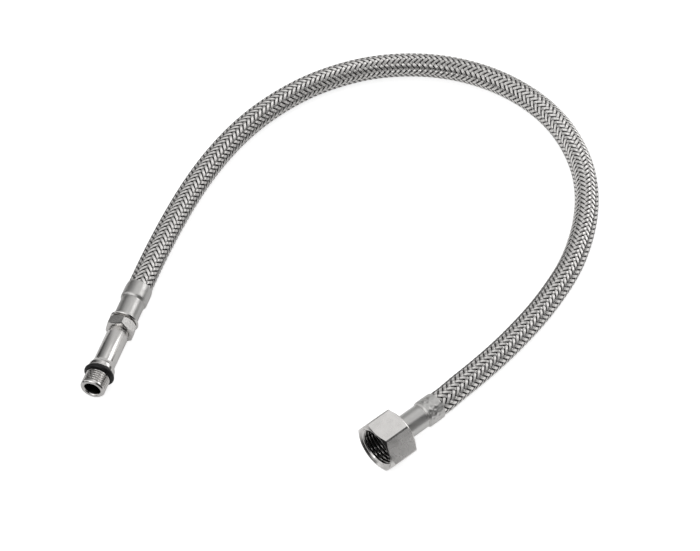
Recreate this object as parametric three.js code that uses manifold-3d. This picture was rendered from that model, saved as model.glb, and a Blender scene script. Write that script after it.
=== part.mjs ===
// Flexible tap hose: steel-braided rubber hose, a threaded tail at one end, a swivel nut at the other.
// Millimetres, +Z up, floor at z = 0; the origin is under the middle of the fittings' box.
import * as THREE from 'three';
import { mergeVertices } from 'three/addons/utils/BufferGeometryUtils.js';
import Module from 'manifold-3d';

const wasm = await Module();
wasm.setup();

// Gaps, how far a cutting body reaches past the solid, and smoothness
const GAP = 0.3;
const PAST = 1;
const SIDES = 36;
const RING_SIDES = 12;
const WELD = 1e-4;

// Where the two fittings lie
const TAIL_TIP = [-64.25, -25.95, 6.2];
const NUT_FRONT = [49.55, -22.35, 9.5];
const NUT_AXIS_DEG = 58.75;

// Hose
const BRAID_R = 5.05;
const BRAID_WALL = 0.35;
const HOSE_BORE_R = 3;
const HOSE_SIDES = 12;
const HOSE_STEPS = 50;
const HOSE_IN_FERRULE = 6;

// Route of the hose's centre between the two ferrules
const ROUTE = [
  [-64.25, 27.45, 6.2],
  [-64.25, 31.75, 6.2],
  [-64.3, 40.75, 6.1],
  [-64.15, 52.35, 5.8],
  [-63.65, 65.85, 5.4],
  [-62.65, 79.45, 5.15],
  [-60.85, 92.85, 5.1],
  [-58.15, 105.95, 5.1],
  [-54.35, 118.85, 5.1],
  [-49.15, 131.35, 5.1],
  [-42.55, 143.05, 5.1],
  [-34.65, 153.75, 5.1],
  [-25.25, 163.15, 5.1],
  [-14.45, 171.25, 5.1],
  [-2.45, 177.25, 5.1],
  [10.35, 181.15, 5.1],
  [23.65, 182.65, 5.1],
  [37.05, 181.65, 5.1],
  [50.05, 178.15, 5.1],
  [62.05, 172.35, 5.1],
  [72.65, 164.35, 5.1],
  [81.35, 154.55, 5.1],
  [88.35, 143.25, 5.1],
  [93.25, 130.65, 5.1],
  [96.05, 117.35, 5.1],
  [97.05, 103.85, 5.1],
  [96.45, 90.25, 5.1],
  [94.05, 76.95, 5.15],
  [90.65, 63.75, 5.4],
  [86.45, 50.75, 6.15],
  [81.65, 37.85, 7.2],
  [76.25, 25.45, 8.25],
  [71.25, 14.85, 9.2],
  [68.12, 8.26, 9.5],
  [66.05, 4.84, 9.5],
];

// Tail, measured along its axis from the tip
const THREAD_R = 5;
const THREAD_ROOT_R = 4.4;
const THREAD_PITCH = 1;
const THREAD_TURNS = 5;
const THREAD_LEAD = 1.2;
const SEAT_R = 3.8;
const SEAT_START = 6.55;
const SEAT_END = 9.05;
const SHOULDER_R = 5.38;
const SHOULDER_END = 10.8;
const FILLET_LENGTH = 2.4;
const ROD_R = 4.42;
const TAIL_BORE_R = 3.2;
const TAIL_BORE_END = 31.5;
const TAIL_BORE_CONE = 1;
const TAIL_HEX_FLATS = 11;
const TAIL_HEX_START = 29.5;
const TAIL_HEX_END = 34.5;
const TAIL_HEX_CHAMFER = 1.3;
const TAIL_HEX_TURN_DEG = 13;
const TAIL_NECK_R = 4.7;
const LIP_R = 5.95;
const LIP_START = 34.8;
const LIP_END = 35.9;

// Spigots inside the hose
const SPIGOT_R = 2.7;
const BARB_DEPTH = 0.2;
const BARB_LENGTH = 1.6;
const BARBS = 3;
const SPIGOT_BORE_R = 2.2;
const SPIGOT_PAST_STEP = 6;
const COLLAR_R = 3.1;

// O-ring
const O_RING_R = 1.05;
const O_RING_MID_R = 5.1;
const O_RING_CENTRE = 7.8;

// Swivel nut, measured along its axis from the front
const NUT_FLATS = 19;
const NUT_LENGTH = 12.85;
const NUT_RIM_R = 8.8;
const NUT_CHAMFER = 1.05;
const NUT_HEX_END = 11.55;
const NUT_COLLAR_R = 9.3;
const NUT_COLLAR_LENGTH = 0.5;
const NUT_MINOR_R = 7.5;
const NUT_MAJOR_R = 8.33;
const NUT_PITCH = 1.337;
const NUT_TURNS = 6;
const NUT_LEAD = 1;
const NUT_SHOULDER = 10.4;
const NUT_HOLE_R = 5.25;

// Ferrules
const FERRULE_R = 4.9;
const FERRULE_WIDE_R = 5.52;
const FERRULE_END_R = 5.38;
const FERRULE_WALL = 0.4;
const FERRULE_FLARE = 1.9;
const FERRULE_WIDE_LENGTH = 6.6;
const FERRULE_END_TAPER = 2;
const TAP_FERRULE_START = LIP_END + GAP;
const TAP_FERRULE_END = 53.1;
const NUT_FERRULE_START = NUT_LENGTH + GAP;
const NUT_FERRULE_END = 31.5;

// Nipple and gasket
const FLANGE_CLEARANCE = 0.4;
const FLANGE_R = NUT_MINOR_R - FLANGE_CLEARANCE;
const FLANGE_THICK = 1.4;
const NECK_R = 4.2;
const GASKET_R = FLANGE_R;
const GASKET_HOLE_R = 3.5;
const GASKET_THICK = 2;

// Merged, outward-facing triangles of a closed geometry
function welded(geometry) {
  const bare = geometry.clone();
  bare.deleteAttribute('normal');
  bare.deleteAttribute('uv');
  const merged = mergeVertices(bare, WELD);
  const at = merged.attributes.position;
  const corner = merged.index.array;
  const a = new THREE.Vector3();
  const b = new THREE.Vector3();
  const c = new THREE.Vector3();
  const kept = [];
  let volume = 0;
  for (let i = 0; i < corner.length; i += 3) {
    const [p, q, r] = [corner[i], corner[i + 1], corner[i + 2]];
    if (p !== q && q !== r && r !== p) {
      kept.push(p, q, r);
      a.fromBufferAttribute(at, p);
      b.fromBufferAttribute(at, q);
      c.fromBufferAttribute(at, r);
      volume += a.dot(b.cross(c));
    }
  }
  if (volume < 0) kept.reverse();
  merged.setIndex(kept);
  return merged;
}

function toManifold(geometry) {
  const merged = welded(geometry);
  return new wasm.Manifold(new wasm.Mesh({
    numProp: 3,
    vertProperties: new Float32Array(merged.attributes.position.array),
    triVerts: new Uint32Array(merged.index.array),
  }));
}

function fromManifold(manifold) {
  const mesh = manifold.getMesh();
  const geometry = new THREE.BufferGeometry();
  const points = new THREE.BufferAttribute(new Float32Array(mesh.vertProperties), mesh.numProp);
  geometry.setAttribute('position', points);
  geometry.setIndex(new THREE.BufferAttribute(new Uint32Array(mesh.triVerts), 1));
  return geometry;
}

// Solid of revolution about Y from [radius, distance] pairs
function turned(profile) {
  return new THREE.LatheGeometry(profile.map(([r, s]) => new THREE.Vector2(r, s)), SIDES);
}

function turnedRing(profile) {
  return turned([...profile, profile[0]]);
}

function cornerRadius(flats) {
  return flats / 2 / Math.cos(Math.PI / 6);
}

function hexagon(flats, from, to, turnDeg) {
  const r = cornerRadius(flats);
  const prism = new THREE.CylinderGeometry(r, r, to - from, 6);
  prism.rotateY(THREE.MathUtils.degToRad(turnDeg));
  prism.translate(0, (from + to) / 2, 0);
  return prism;
}

// Round grooves of a thread as [radius, distance] pairs, from the first crest on
function threadProfile(start, pitch, turns, crest, root) {
  const pairs = [];
  for (let i = 0; i < turns; i += 1) {
    const s = start + i * pitch;
    pairs.push([crest, s + pitch * 0.12], [root, s + pitch * 0.45]);
    pairs.push([root, s + pitch * 0.6], [crest, s + pitch * 0.93]);
  }
  return pairs;
}

// Outside of a barbed spigot as [radius, distance] pairs, from its root to its open end
function spigotProfile(from, step) {
  const tip = step + SPIGOT_PAST_STEP;
  const pairs = [[COLLAR_R, from], [COLLAR_R, step - GAP], [SPIGOT_R - BARB_DEPTH, step]];
  for (let i = 0; i < BARBS; i += 1) {
    const s = tip - (BARBS - i) * BARB_LENGTH;
    pairs.push([SPIGOT_R - BARB_DEPTH, s], [SPIGOT_R, s + 0.1]);
  }
  pairs.push([SPIGOT_BORE_R + 0.15, tip]);
  return pairs;
}

function tapTail() {
  const step = TAP_FERRULE_END - FERRULE_WIDE_LENGTH;
  const threadEnd = THREAD_LEAD + THREAD_PITCH * THREAD_TURNS;
  const fillet = (share) => SHOULDER_R + (ROD_R - SHOULDER_R) * share;
  const outside = turned([
    [0, 0],
    [THREAD_ROOT_R + 0.1, 0],
    [THREAD_R - 0.1, 0.4],
    ...threadProfile(THREAD_LEAD, THREAD_PITCH, THREAD_TURNS, THREAD_R, THREAD_ROOT_R),
    [THREAD_R, threadEnd + 0.1],
    [THREAD_R - 0.3, SEAT_START],
    [SEAT_R, SEAT_START],
    [SEAT_R, SEAT_END],
    [SHOULDER_R - 0.2, SEAT_END],
    [SHOULDER_R, SEAT_END + 0.25],
    [SHOULDER_R, SHOULDER_END],
    [fillet(0.4), SHOULDER_END + FILLET_LENGTH * 0.2],
    [fillet(0.8), SHOULDER_END + FILLET_LENGTH * 0.6],
    [ROD_R, SHOULDER_END + FILLET_LENGTH],
    [ROD_R, TAIL_HEX_START - 0.9],
    [ROD_R - 0.35, TAIL_HEX_START - 0.6],
    [ROD_R - 0.35, TAIL_HEX_START + 0.5],
    [TAIL_NECK_R, TAIL_HEX_START + 0.5],
    [TAIL_NECK_R, LIP_START],
    [LIP_R - 0.1, LIP_START],
    [LIP_R, LIP_START + 0.15],
    [LIP_R, LIP_END - 0.15],
    [LIP_R - 0.1, LIP_END],
    ...spigotProfile(LIP_END, step),
    [0, step + SPIGOT_PAST_STEP],
  ]);
  const rim = TAIL_HEX_FLATS / 2 - 0.1;
  const corner = cornerRadius(TAIL_HEX_FLATS) + 0.1;
  const chamfered = turned([
    [0, TAIL_HEX_START],
    [rim, TAIL_HEX_START],
    [corner, TAIL_HEX_START + TAIL_HEX_CHAMFER],
    [corner, TAIL_HEX_END - TAIL_HEX_CHAMFER],
    [rim, TAIL_HEX_END],
    [0, TAIL_HEX_END],
  ]);
  const bore = turned([
    [0, -PAST],
    [TAIL_BORE_R + 0.4, -PAST],
    [TAIL_BORE_R + 0.4, 0],
    [TAIL_BORE_R, 0.4],
    [TAIL_BORE_R, TAIL_BORE_END],
    [SPIGOT_BORE_R, TAIL_BORE_END + TAIL_BORE_CONE],
    [SPIGOT_BORE_R, step + SPIGOT_PAST_STEP + PAST],
    [0, step + SPIGOT_PAST_STEP + PAST],
  ]);
  const prism = hexagon(TAIL_HEX_FLATS, TAIL_HEX_START - PAST, TAIL_HEX_END + PAST, TAIL_HEX_TURN_DEG);
  const hex = toManifold(prism).intersect(toManifold(chamfered));
  return fromManifold(toManifold(outside).add(hex).subtract(toManifold(bore)));
}

function oRing() {
  const profile = [];
  for (let i = 0; i < RING_SIDES; i += 1) {
    const a = (i / RING_SIDES) * 2 * Math.PI;
    profile.push([O_RING_MID_R + O_RING_R * Math.cos(a), O_RING_CENTRE + O_RING_R * Math.sin(a)]);
  }
  return turnedRing(profile);
}

function ferrule(from, to) {
  const step = to - FERRULE_WIDE_LENGTH;
  const inside = COLLAR_R + GAP;
  const wide = FERRULE_WIDE_R - FERRULE_WALL;
  return turnedRing([
    [inside, from],
    [FERRULE_R - 0.2, from],
    [FERRULE_R, from + 0.2],
    [FERRULE_R, step - FERRULE_FLARE],
    [FERRULE_R + 0.15, step - FERRULE_FLARE + 0.6],
    [FERRULE_WIDE_R - 0.15, step - 0.5],
    [FERRULE_WIDE_R, step],
    [FERRULE_WIDE_R, to - FERRULE_END_TAPER],
    [FERRULE_END_R, to - 0.3],
    [FERRULE_END_R - 0.1, to],
    [wide - 0.3, to],
    [wide - 0.3, to - 0.5],
    [wide, to - FERRULE_END_TAPER],
    [wide, step + GAP],
    [inside, step + GAP - 1],
  ]);
}

function unionNut() {
  const corner = cornerRadius(NUT_FLATS) + 0.1;
  const chamfered = turned([
    [0, 0],
    [NUT_RIM_R, 0],
    [corner, NUT_CHAMFER],
    [corner, NUT_HEX_END],
    [NUT_COLLAR_R, NUT_LENGTH - NUT_COLLAR_LENGTH],
    [NUT_COLLAR_R, NUT_LENGTH - 0.15],
    [NUT_COLLAR_R - 0.15, NUT_LENGTH],
    [0, NUT_LENGTH],
  ]);
  const bore = turned([
    [0, -PAST],
    [NUT_MAJOR_R + 0.2, -PAST],
    [NUT_MAJOR_R + 0.2, 0],
    [NUT_MINOR_R, NUT_LEAD],
    ...threadProfile(NUT_LEAD, NUT_PITCH, NUT_TURNS, NUT_MINOR_R, NUT_MAJOR_R),
    [NUT_MINOR_R, NUT_LEAD + NUT_PITCH * NUT_TURNS + 0.1],
    [NUT_MAJOR_R, NUT_LEAD + NUT_PITCH * NUT_TURNS + 0.6],
    [NUT_MAJOR_R, NUT_SHOULDER],
    [NUT_HOLE_R, NUT_SHOULDER],
    [NUT_HOLE_R, NUT_LENGTH + PAST],
    [0, NUT_LENGTH + PAST],
  ]);
  const prism = hexagon(NUT_FLATS, -PAST, NUT_LENGTH + PAST, 30);
  const hex = toManifold(prism).intersect(toManifold(chamfered));
  return fromManifold(hex.subtract(toManifold(bore)));
}

function nutNipple() {
  const step = NUT_FERRULE_END - FERRULE_WIDE_LENGTH;
  const flangeBack = NUT_SHOULDER - GAP;
  return turnedRing([
    [SPIGOT_BORE_R, flangeBack - FLANGE_THICK],
    [FLANGE_R - 0.15, flangeBack - FLANGE_THICK],
    [FLANGE_R, flangeBack - FLANGE_THICK + 0.15],
    [FLANGE_R, flangeBack],
    [NECK_R, flangeBack],
    [NECK_R, NUT_FERRULE_START - GAP],
    ...spigotProfile(NUT_FERRULE_START - GAP, step),
    [SPIGOT_BORE_R, step + SPIGOT_PAST_STEP],
  ]);
}

function gasket() {
  const back = NUT_SHOULDER - GAP - FLANGE_THICK - GAP;
  return turnedRing([
    [GASKET_HOLE_R, back - GASKET_THICK],
    [GASKET_R, back - GASKET_THICK],
    [GASKET_R, back],
    [GASKET_HOLE_R, back],
  ]);
}

// Tube of a given outer and inner radius along a list of points
function tube(points, outerR, innerR) {
  const polygon = (path, r) => {
    for (let i = 0; i < HOSE_SIDES; i += 1) {
      const a = (i / HOSE_SIDES) * 2 * Math.PI;
      if (i === 0) path.moveTo(r * Math.cos(a), r * Math.sin(a));
      else path.lineTo(r * Math.cos(a), r * Math.sin(a));
    }
    path.closePath();
    return path;
  };
  const section = polygon(new THREE.Shape(), outerR);
  section.holes.push(polygon(new THREE.Path(), innerR));
  const path = new THREE.CatmullRomCurve3(points.map((p) => new THREE.Vector3(...p)));
  return new THREE.ExtrudeGeometry(section, { steps: HOSE_STEPS, extrudePath: path });
}

function nutDirection() {
  const a = THREE.MathUtils.degToRad(NUT_AXIS_DEG);
  return [Math.cos(a), Math.sin(a)];
}

function innerHose() {
  const [dx, dy] = nutDirection();
  const first = ROUTE[0];
  const last = ROUTE[ROUTE.length - 1];
  const start = [first[0], first[1] - HOSE_IN_FERRULE, first[2]];
  const end = [last[0] - dx * HOSE_IN_FERRULE, last[1] - dy * HOSE_IN_FERRULE, last[2]];
  return tube([start, ...ROUTE, end], BRAID_R - BRAID_WALL - GAP, HOSE_BORE_R);
}

function atTail(geometry) {
  geometry.translate(...TAIL_TIP);
  return geometry;
}

function atNut(geometry) {
  geometry.rotateZ(THREE.MathUtils.degToRad(NUT_AXIS_DEG - 90));
  geometry.translate(...NUT_FRONT);
  return geometry;
}

function node(name, geometry, color, roughness, metalness) {
  const closed = welded(geometry);
  closed.computeVertexNormals();
  const material = new THREE.MeshStandardMaterial({ color, roughness, metalness });
  const mesh = new THREE.Mesh(closed, material);
  mesh.name = name;
  return mesh;
}

const PLATED = 0xc8c8c6;
const STEEL = 0x9a9a98;
const RUBBER = 0x1b1b1c;

const group = new THREE.Group();
group.name = 'flexible_tap_hose';
group.add(node('tap_tail', atTail(tapTail()), PLATED, 0.22, 1));
group.add(node('tap_o_ring', atTail(oRing()), RUBBER, 0.6, 0));
group.add(node('tap_ferrule', atTail(ferrule(TAP_FERRULE_START, TAP_FERRULE_END)), STEEL, 0.35, 1));
group.add(node('inner_hose', innerHose(), RUBBER, 0.7, 0));
group.add(node('steel_braid', tube(ROUTE, BRAID_R, BRAID_R - BRAID_WALL), STEEL, 0.45, 1));
group.add(node('nut_ferrule', atNut(ferrule(NUT_FERRULE_START, NUT_FERRULE_END)), STEEL, 0.35, 1));
group.add(node('nut_nipple', atNut(nutNipple()), PLATED, 0.3, 1));
group.add(node('union_nut', atNut(unionNut()), PLATED, 0.25, 1));
group.add(node('gasket', atNut(gasket()), RUBBER, 0.75, 0));

export default group;
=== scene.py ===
"""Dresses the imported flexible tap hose: woven wire, crimped sleeves, turned fittings and stage."""

import math

import bmesh
import bpy
import numpy as np
from mathutils import Matrix, Vector


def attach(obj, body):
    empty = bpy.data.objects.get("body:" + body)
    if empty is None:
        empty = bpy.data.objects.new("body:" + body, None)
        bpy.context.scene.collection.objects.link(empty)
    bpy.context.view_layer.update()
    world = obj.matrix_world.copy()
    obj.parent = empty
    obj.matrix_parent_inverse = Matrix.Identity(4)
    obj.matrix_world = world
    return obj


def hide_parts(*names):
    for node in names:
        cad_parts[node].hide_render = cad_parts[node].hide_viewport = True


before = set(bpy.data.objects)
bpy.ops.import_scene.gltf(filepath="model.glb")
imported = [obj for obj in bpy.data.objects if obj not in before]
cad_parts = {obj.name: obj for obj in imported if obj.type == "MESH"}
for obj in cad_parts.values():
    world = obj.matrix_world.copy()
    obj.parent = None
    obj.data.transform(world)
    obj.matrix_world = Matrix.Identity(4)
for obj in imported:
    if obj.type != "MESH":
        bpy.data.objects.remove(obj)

bl_info = {
    "name": "Flexible Tap Hose",
    "version": (1, 0, 0),
    "blender": (4, 5, 0),
    "location": "3D View > Sidebar > Tap Hose",
    "description": "Woven hose, crimped sleeves, threaded tail and swivel nut on the packed frame",
    "category": "Object",
}

MM = 0.001

# Where the two fittings lie: the tail's tip and the nut's front, with their axes towards the hose
TAIL_TIP = (-64.25, -25.95, 6.2)
NUT_FRONT = (49.55, -22.35, 9.5)
NUT_AXIS_DEG = 58.75

# The hose's centre between the two ferrules, in millimetres
ROUTE = (
    (-64.25, 27.45, 6.2),
    (-64.25, 31.75, 6.2),
    (-64.3, 40.75, 6.1),
    (-64.15, 52.35, 5.8),
    (-63.65, 65.85, 5.4),
    (-62.65, 79.45, 5.15),
    (-60.85, 92.85, 5.1),
    (-58.15, 105.95, 5.1),
    (-54.35, 118.85, 5.1),
    (-49.15, 131.35, 5.1),
    (-42.55, 143.05, 5.1),
    (-34.65, 153.75, 5.1),
    (-25.25, 163.15, 5.1),
    (-14.45, 171.25, 5.1),
    (-2.45, 177.25, 5.1),
    (10.35, 181.15, 5.1),
    (23.65, 182.65, 5.1),
    (37.05, 181.65, 5.1),
    (50.05, 178.15, 5.1),
    (62.05, 172.35, 5.1),
    (72.65, 164.35, 5.1),
    (81.35, 154.55, 5.1),
    (88.35, 143.25, 5.1),
    (93.25, 130.65, 5.1),
    (96.05, 117.35, 5.1),
    (97.05, 103.85, 5.1),
    (96.45, 90.25, 5.1),
    (94.05, 76.95, 5.15),
    (90.65, 63.75, 5.4),
    (86.45, 50.75, 6.15),
    (81.65, 37.85, 7.2),
    (76.25, 25.45, 8.25),
    (71.25, 14.85, 9.2),
    (68.12, 8.26, 9.5),
    (66.05, 4.84, 9.5),
)

# Distances along the fittings' axes, in millimetres
TAP_FERRULE = (36.2, 53.1)
NUT_FERRULE = (13.15, 31.5)
FERRULE_WIDE_LENGTH = 6.6
BRAID_UNDER_CRIMP = 2.4
LIP_END = 35.9
O_RING_MIDDLE = 7.8
GASKET_FRONT, GASKET_BACK = 6.4, 8.4
NUT_SHOULDER = 10.4

# Radii of the fittings, in millimetres
SEAT_RADIUS = 3.8
SHOULDER_RADIUS = 5.38
NECK_RADIUS = 4.7
LIP_RADIUS = 5.95
COLLAR_RADIUS = 3.1
SPIGOT_RADIUS, SPIGOT_BORE, SPIGOT_LENGTH = 2.7, 2.2, 6.0
FLANGE_RADIUS = 7.1
GASKET_HOLE, GASKET_EDGE = 3.5, 0.1
NUT_RIM_RADIUS = 9.3
NUT_HOLE_RADIUS = 5.25

# How far the bands rise and sink at a crossing, and how much a band curves across, in millimetres
BAND_LIFT = 0.17
BAND_CROWN = 0.11

# Faint flats of the crimping jaws and the bands' imprint, as shares of the sleeve's radius
JAWS, JAW_PRESS = 8, 0.013
IMPRINT_PRESS = 0.032

# The camera, in millimetres and degrees
CAMERA_PLACE = (229.4, -623.4, 871.2)
CAMERA_DOWN_DEG, CAMERA_TURN_DEG = 50.4, 17.53
CAMERA_LENS, CAMERA_SENSOR = 144.0, 36.0

# What the metal mirrors, as (place from left -1 to right 1, grey) pairs
WALL_BEHIND = (
    (-1.0, 0.12), (-0.84, 0.08), (-0.73, 0.08), (-0.65, 0.24), (-0.46, 0.37), (-0.34, 0.54),
    (-0.2, 0.66), (0.0, 0.7), (0.2, 0.58), (0.4, 0.66), (0.5, 0.9), (0.62, 1.0),
    (0.69, 0.9), (0.75, 0.14), (0.87, 0.05), (1.0, 0.3),
)
WALL_BESIDE = (
    (-1.0, 0.9), (-0.6, 0.75), (-0.3, 0.85), (0.0, 0.8), (0.2, 0.92), (0.46, 0.95),
    (0.54, 0.6), (0.61, 0.06), (0.82, 0.04), (0.9, 0.32), (1.0, 0.28),
)
WALL_BEFORE_HIGH = ((-1.0, 0.7), (-0.5, 1.0), (0.1, 1.0), (0.32, 0.12), (0.42, 0.03), (1.0, 0.03))
WALL_BEFORE_LOW = ((-1.0, 1.0), (-0.91, 1.0), (-0.83, 0.05), (-0.5, 0.03), (1.0, 0.03))
CEILING_GREY = 0.7
# Towards the dark gap between the cards overhead
GAP_DIRECTION = (0.549, 0.158, 0.801)

# The grey table that the metal mirrors, in metres: where its near edge starts and ends, that edge's
# slope and forward step, the stretch where its light falls off, and its left, rear and far ends
TABLE_NEAR, TABLE_SLOPE = (-0.043, -0.028), -0.165
TABLE_STEP_AT, TABLE_STEP = (0.046, 0.06), 0.024
TABLE_DIM, TABLE_LEFT = (0.01, 0.035), (-0.106, -0.088)
TABLE_REAR, TABLE_END = (0.03, 0.05), (-0.15, -0.12)

# Each light's name, place and aim in metres, width, height and power in watts
LIGHTS = (
    ("overhead_card", (-0.02, 0.37, 0.48), (-0.02, 0.3699, 0.0), 0.235, 0.35, 0.09),
    ("right_softbox", (0.5, 0.55, 0.44), (-0.05, 0.02, 0.0), 0.6, 0.28, 0.85),
    ("left_softbox", (-0.27, -0.47, 0.35), (-0.064, 0.0, 0.0), 0.26, 0.16, 0.26),
)


def linear(text):
    """Turns an sRGB hex colour into linear red, green and blue."""
    parts = [int(text[i : i + 2], 16) / 255 for i in (1, 3, 5)]
    return [c / 12.92 if c <= 0.04045 else ((c + 0.055) / 1.055) ** 2.4 for c in parts]


def length(name, description, millimetres):
    return bpy.props.FloatProperty(
        name=name,
        description=description,
        default=millimetres * MM,
        min=0.0,
        unit="LENGTH",
        precision=5,
    )


def colour(name, description, text):
    return bpy.props.FloatVectorProperty(
        name=name,
        description=description,
        default=linear(text),
        size=3,
        min=0.0,
        max=1.0,
        subtype="COLOR",
    )


class TapHoseSizes(bpy.types.PropertyGroup):
    """Sizes of the hose and its fittings."""

    braid_radius: length("Braid radius", "Outer radius of the woven wire", 5.05)
    wire: length("Wire", "Diameter of one wire of the braid", 0.235)
    carriers: bpy.props.IntProperty(
        name="Bands each way",
        description="Bands of wire that wind one way round the hose",
        default=12,
        min=4,
    )
    wires: bpy.props.IntProperty(
        name="Wires in a band",
        description="Wires that lie side by side in one band",
        default=5,
        min=2,
    )
    braid_angle: bpy.props.FloatProperty(
        name="Braid angle",
        description="Angle between a band and the hose's line",
        default=math.radians(45.8),
        subtype="ANGLE",
        unit="ROTATION",
    )
    tube_radius: length("Tube radius", "Outer radius of the rubber tube under the braid", 4.4)
    ferrule_radius: length("Sleeve radius", "Radius of a crimped sleeve's narrow part", 4.9)
    ferrule_wide: length("Sleeve mouth radius", "Radius of a crimped sleeve's wide part", 5.52)
    thread_radius: length("Tail thread radius", "Crest radius of the tail's thread", 5.0)
    thread_root: length("Tail thread root", "Root radius of the tail's thread", 4.4)
    thread_pitch: length("Tail thread pitch", "Distance between the tail thread's crests", 1.0)
    rod_radius: length("Rod radius", "Radius of the tail's plain rod", 4.42)
    tail_bore: length("Tail bore", "Radius of the hole through the tail", 3.2)
    tail_flats: length("Tail hexagon", "Width across the flats of the tail's hexagon", 11.0)
    ring_section: length("O-ring section", "Radius of the O-ring's cord", 1.05)
    ring_radius: length("O-ring radius", "Radius of the O-ring's centre line", 5.1)
    nut_flats: length("Nut hexagon", "Width across the flats of the swivel nut", 19.0)
    nut_length: length("Nut length", "Length of the swivel nut along its axis", 12.85)
    nut_minor: length("Nut thread crest", "Crest radius of the nut's inner thread", 7.5)
    nut_major: length("Nut thread root", "Root radius of the nut's inner thread", 8.33)
    nut_pitch: length("Nut thread pitch", "Distance between the nut thread's crests", 1.337)


class TapHoseFinishes(bpy.types.PropertyGroup):
    """Colours of the hose's materials and of the stage."""

    nickel: colour("Nickel", "Colour of the nickel plating on the turned brass", "#D6D4D2")
    sleeve: colour("Sleeve steel", "Colour of the crimped stainless sleeves", "#C6C5C3")
    wire: colour("Wire steel", "Colour of the stainless wire", "#ECEAE8")
    rubber: colour("Rubber", "Colour of the black seals and the tube", "#0B0B0C")
    floor: colour("Floor", "Colour of the pale floor", "#C4C4C4")


# Placing


def tail_place():
    return Matrix.Translation(Vector(TAIL_TIP) * MM)


def nut_place():
    turn = Matrix.Rotation(math.radians(NUT_AXIS_DEG - 90), 4, "Z")
    return Matrix.Translation(Vector(NUT_FRONT) * MM) @ turn


def sizes(context):
    return context.scene.tap_hose_sizes


def finishes(context):
    return context.scene.tap_hose_finishes


# Meshes


def linked(name, bm):
    """Puts the mesh into the scene as an object of that name."""
    mesh = bpy.data.meshes.new(name)
    bm.to_mesh(mesh)
    bm.free()
    made = bpy.data.objects.new(name, mesh)
    bpy.context.scene.collection.objects.link(made)
    return made


def new_object(name, bm, place=None, crease_deg=35.0):
    """Makes an object at the origin, with its place in the mesh, smooth but for its creases.

    Without an angle for the creases, the mesh keeps those that it has. Faces of the second
    material slot, the milled flats, are creased all round.
    """
    bmesh.ops.recalc_face_normals(bm, faces=bm.faces)
    if place is not None:
        bmesh.ops.transform(bm, matrix=place, verts=bm.verts)
    for face in bm.faces:
        face.smooth = True
    if crease_deg is not None:
        limit = math.radians(crease_deg)
        for edge in bm.edges:
            milled = any(face.material_index == 1 for face in edge.link_faces)
            angle = math.radians(10) if milled else limit
            edge.smooth = len(edge.link_faces) == 2 and edge.calc_face_angle(0.0) < angle
    return linked(name, bm)


def spin_round(bm, outline, steps):
    """Sweeps an outline once round the Y axis and closes the seam."""
    bmesh.ops.spin(
        bm,
        geom=outline,
        cent=(0, 0, 0),
        axis=(0, 1, 0),
        dvec=(0, 0, 0),
        angle=2 * math.pi,
        steps=steps,
        use_merge=True,
        use_duplicate=False,
    )
    bmesh.ops.remove_doubles(bm, verts=bm.verts, dist=1e-7)


def turned(profile, steps):
    """Spins a profile of (radius, distance) pairs, in millimetres, about the Y axis."""
    bm = bmesh.new()
    corners = [bm.verts.new((r * MM, s * MM, 0.0)) for r, s in profile]
    chain = [bm.edges.new(pair) for pair in zip(corners, corners[1:])]
    if profile[0][0] > 0 and profile[-1][0] > 0:
        chain.append(bm.edges.new((corners[-1], corners[0])))
    spin_round(bm, corners + chain, steps)
    bmesh.ops.recalc_face_normals(bm, faces=bm.faces)
    return bm


def fine(profile, start, end, step):
    """The profile with its straight run from start to end cut into short lengths."""
    out = []
    for (r0, s0), (r1, s1) in zip(profile, profile[1:]):
        out.append((r0, s0))
        if r0 == r1 and min(s0, s1) >= start - 1e-6 and max(s0, s1) <= end + 1e-6:
            count = max(1, round(abs(s1 - s0) / step))
            out.extend((r0, s0 + (s1 - s0) * i / count) for i in range(1, count))
    return out + [profile[-1]]


def smooth_step(x):
    x = min(1.0, max(0.0, x))
    return x * x * (3 - 2 * x)


def spigot(step):
    """The outline from a fitting's collar to the open end of its spigot, whose root is at step."""
    tip = step + SPIGOT_LENGTH
    return [
        (COLLAR_RADIUS, step - 0.3),
        (SPIGOT_RADIUS, step),
        (SPIGOT_RADIUS, tip),
        (SPIGOT_BORE, tip),
    ]


def cut_thread(bm, radius, depth, pitch, start, end, fade):
    """Winds a helical groove into the vertices that lie at that radius, from start to end."""
    for v in bm.verts:
        x, y, z = v.co.x / MM, v.co.y / MM, v.co.z / MM
        r = math.hypot(x, z)
        if abs(r - radius) > 0.02 or not start < y < end:
            continue
        turn = (y / pitch - math.atan2(z, x) / (2 * math.pi)) % 1.0
        groove = smooth_step(1.2 - 2.9 * abs(turn - 0.5))
        groove *= smooth_step((y - start) / fade) * smooth_step((end - y) / fade)
        k = (radius + depth * groove) / r
        v.co.x *= k
        v.co.z *= k


def hexagon(flats, start, end, turn_deg):
    """A hexagonal bar about the Y axis, with a corner at turn_deg from straight up."""
    bm = bmesh.new()
    bmesh.ops.create_cone(
        bm,
        cap_ends=True,
        segments=6,
        radius1=flats / math.sqrt(3) * MM,
        radius2=flats / math.sqrt(3) * MM,
        depth=(end - start) * MM,
        matrix=Matrix.Translation((0, (start + end) / 2 * MM, 0))
        @ Matrix.Rotation(math.radians(turn_deg), 4, "Y")
        @ Matrix.Rotation(math.radians(90), 4, "X"),
    )
    bmesh.ops.recalc_face_normals(bm, faces=bm.faces)
    return bm


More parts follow.
